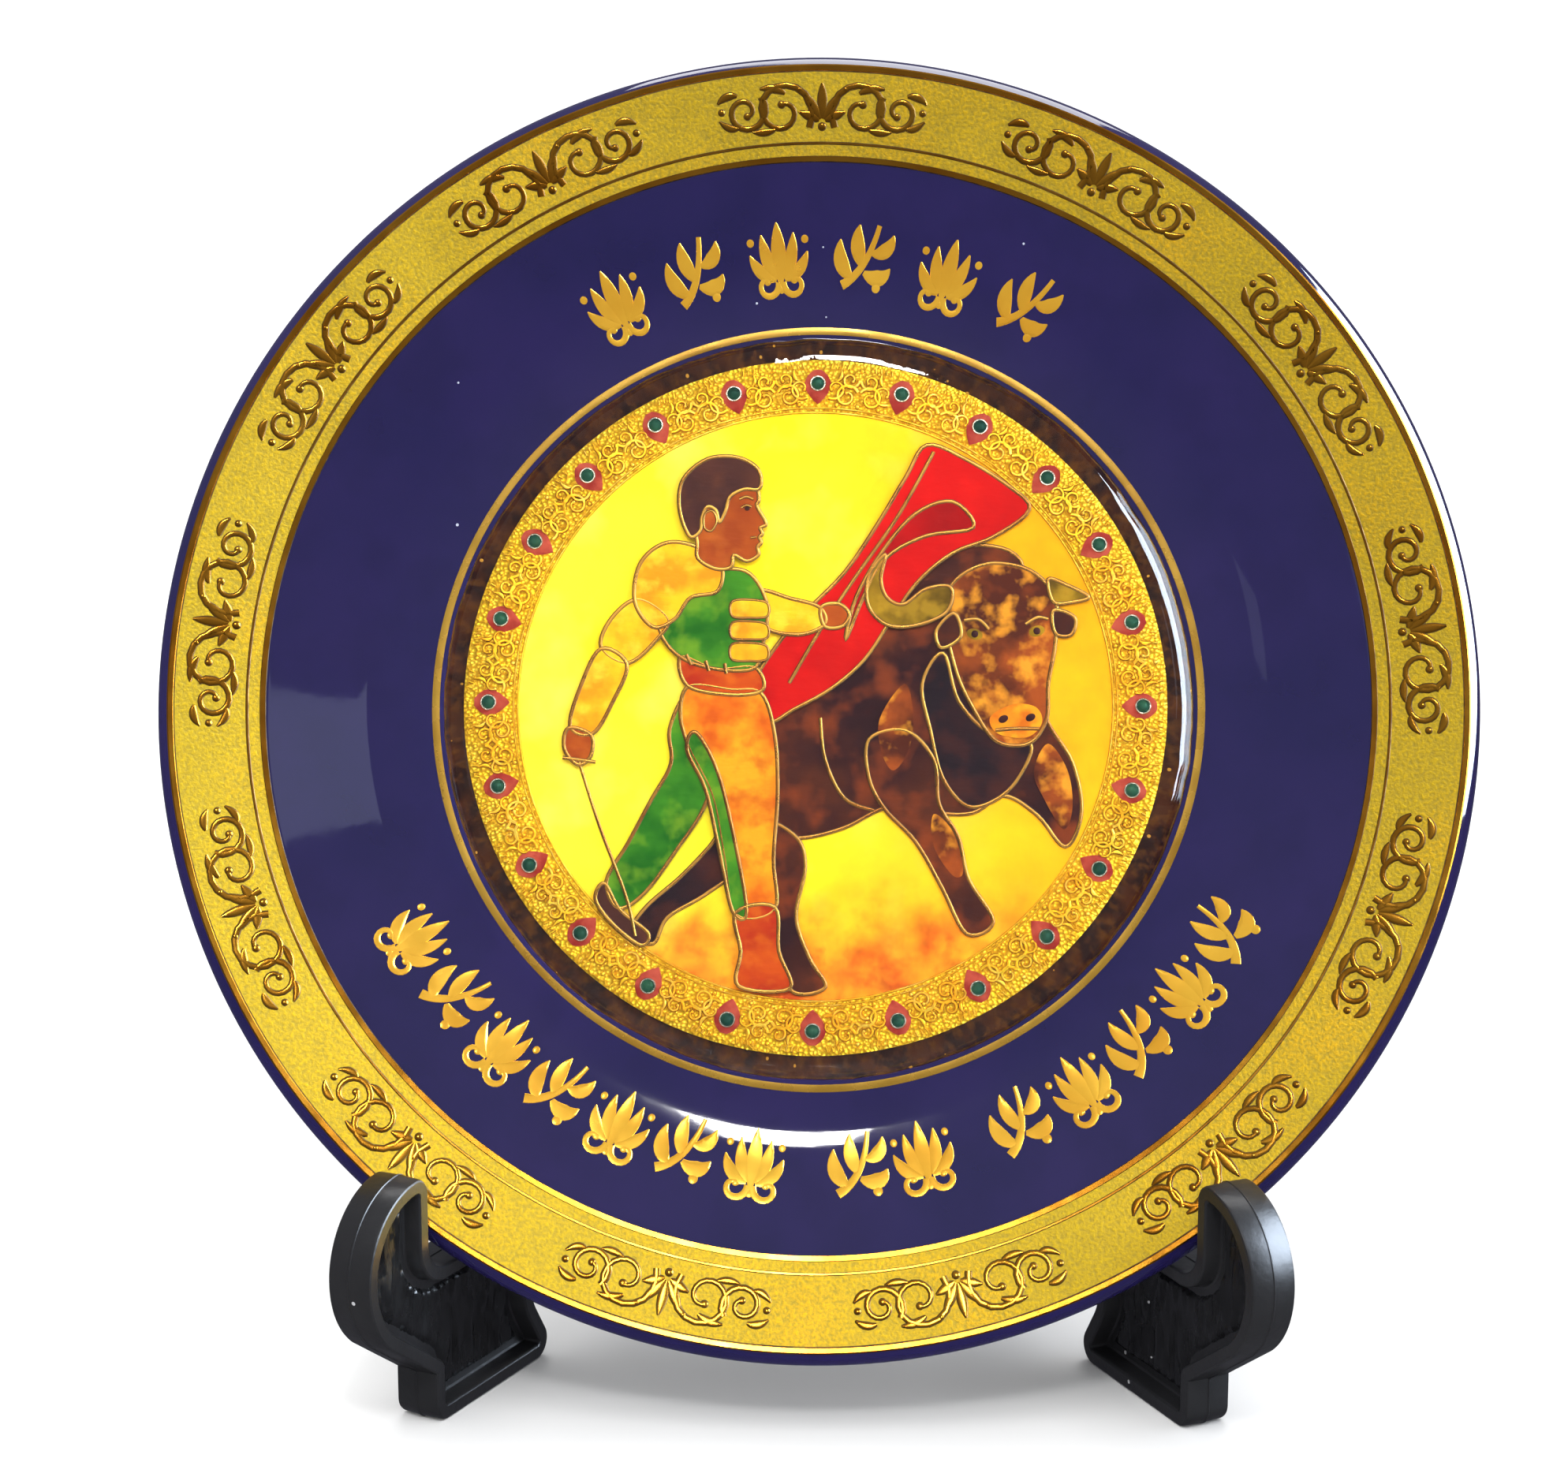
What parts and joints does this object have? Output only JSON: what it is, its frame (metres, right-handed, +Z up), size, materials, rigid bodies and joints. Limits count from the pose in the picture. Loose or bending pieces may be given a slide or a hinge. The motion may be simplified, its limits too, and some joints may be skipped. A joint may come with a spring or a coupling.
{
  "type": "souvenir plate",
  "caption": "Round glazed plate with a gold rim band and a resin-covered medallion in its well, leaning on a folding easel of two moulded wings.",
  "frame": {"origin": "on the surface the easel stands on, under the middle of the whole object", "axes": "+Z up, the plate faces -Y, +X to the viewer's right"},
  "size_m": [0.15, 0.093, 0.1457],
  "materials": {
    "glaze": "deep blue gloss glaze",
    "gold": "fired gold",
    "foil": "embossed gold foil with clear colours",
    "glue": "dry glue",
    "resin": "clear glossy resin",
    "black_plastic": "satin moulded black plastic",
    "steel": "plain steel pin"
  },
  "bodies": {
    "left_wing": {"left_wing": "black_plastic", "hinge_pin": "steel"},
    "right_wing": {"right_wing": "black_plastic"},
    "plate": {"plate_body": "glaze", "rim_band": "gold", "upper_spray": "gold", "lower_spray": "gold", "well_line": "gold", "medallion_glue": "glue", "medallion_foil": "foil", "resin_dome": "resin"}
  },
  "joints": [
    {"name": "plate_lift", "type": "slide", "parent": "left_wing", "child": "plate", "axis": [0, 0, 1], "range_m": [0, 0.16]},
    {"name": "wing_fold", "type": "hinge", "parent": "left_wing", "child": "right_wing", "pos_m": [0, 0.0433, 0.03], "axis": [0, 0, -1], "range_deg": [0, 56]}
  ],
  "couplings": [
    {"joint": "wing_fold", "follows": "plate_lift", "rad_per_m": 6.1086}
  ]
}
